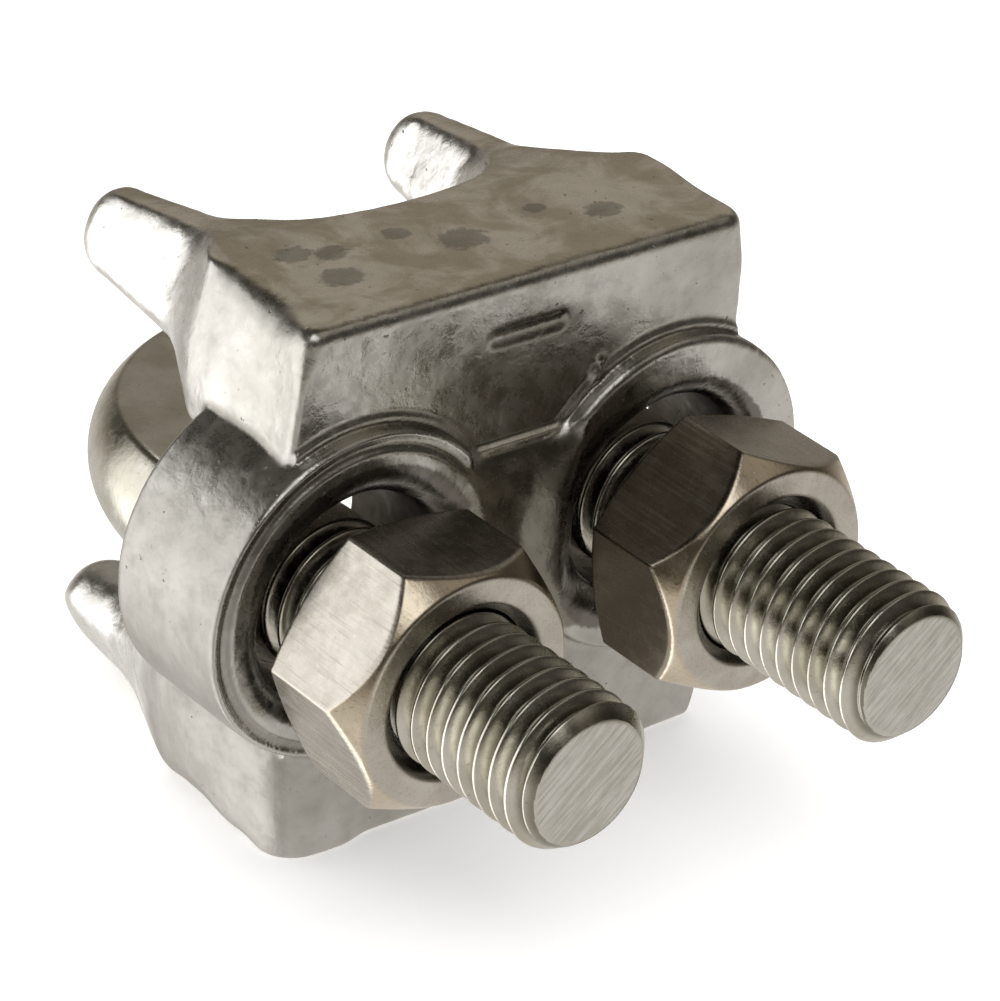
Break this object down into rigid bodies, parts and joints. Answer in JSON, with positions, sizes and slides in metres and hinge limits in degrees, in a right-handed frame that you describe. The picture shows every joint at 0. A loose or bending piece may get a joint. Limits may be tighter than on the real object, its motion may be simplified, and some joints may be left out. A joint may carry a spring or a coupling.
{
  "type": "wire rope clip",
  "caption": "U-bolt wire rope clip: a cast saddle with a rope seat and horns, clamped onto the rope by a threaded U-bolt and hexagon nuts.",
  "frame": {"origin": "bottom centre of the whole clip's box, in the plane of the saddle's lower end face", "axes": "+Y runs along the U-bolt's legs from the threaded ends towards the bend, +Z runs along the rope, +X runs from the left leg to the right leg as seen from the nuts"},
  "size_m": [0.0656, 0.0786, 0.052],
  "materials": {
    "cast_stainless": "polished casting with soft edges, small pits and brown-grey end faces",
    "bar_stainless": "bright cut thread, fine grinding lines round the bend",
    "nut_stainless": "drawn flats with fine streaks and bright turned chamfers"
  },
  "bodies": {
    "u_bolt": {"u_bolt": "bar_stainless"},
    "saddle": {"saddle": "cast_stainless"},
    "nut_left": {"nut_left": "nut_stainless"},
    "nut_right": {"nut_right": "nut_stainless"}
  },
  "joints": [
    {"name": "saddle_slide", "type": "slide", "parent": "u_bolt", "child": "saddle", "axis": [0, 1, 0], "range_m": [-0.014, 0.008]},
    {"name": "nut_left_spin", "type": "hinge", "parent": "saddle", "child": "nut_left", "pos_m": [-0.0173, -0.01615, 0.0248], "axis": [0, 1, 0], "range_deg": [-2520.6, 1440.6]},
    {"name": "nut_right_spin", "type": "hinge", "parent": "saddle", "child": "nut_right", "pos_m": [0.0173, -0.01555, 0.0248], "axis": [0, 1, 0], "range_deg": [-2520.6, 1440.6]}
  ],
  "couplings": [
    {"joint": "nut_left_spin", "follows": "saddle_slide", "rad_per_m": 3141.6},
    {"joint": "nut_right_spin", "follows": "saddle_slide", "rad_per_m": 3141.6}
  ]
}
